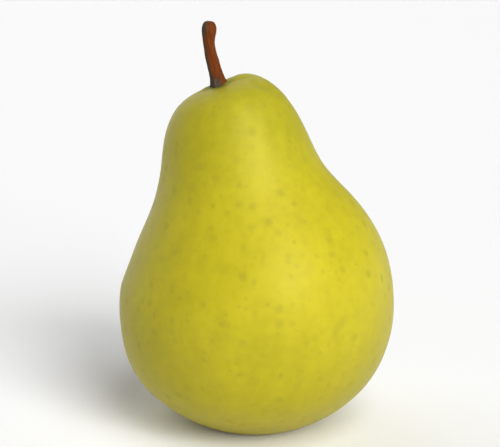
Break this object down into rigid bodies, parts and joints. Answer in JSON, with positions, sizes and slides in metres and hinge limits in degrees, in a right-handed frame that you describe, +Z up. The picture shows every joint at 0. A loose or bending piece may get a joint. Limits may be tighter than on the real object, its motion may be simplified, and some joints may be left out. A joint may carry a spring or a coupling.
{
  "type": "pear",
  "caption": "Ripe pear standing upright on its base, with a woody stem at the crown and a dried calyx in the basin underneath.",
  "frame": {"origin": "on the surface that the pear stands on, under the middle of its outline seen from above", "axes": "+Z up from the base to the stem; the neck and the stem lean towards -X; -Y is the side seen from the front"},
  "size_m": [0.0712, 0.071, 0.1046],
  "materials": {
    "skin": "satin, yellow-green with small darker dots",
    "bark": "matt, reddish brown with grey-brown streaks",
    "dried_leaf": "matt, dark brown and papery"
  },
  "bodies": {
    "root": {"fruit": "skin", "stem": "bark", "sepal_1": "dried_leaf", "sepal_2": "dried_leaf", "sepal_3": "dried_leaf", "sepal_4": "dried_leaf", "sepal_5": "dried_leaf", "stamens": "dried_leaf"}
  },
  "joints": []
}
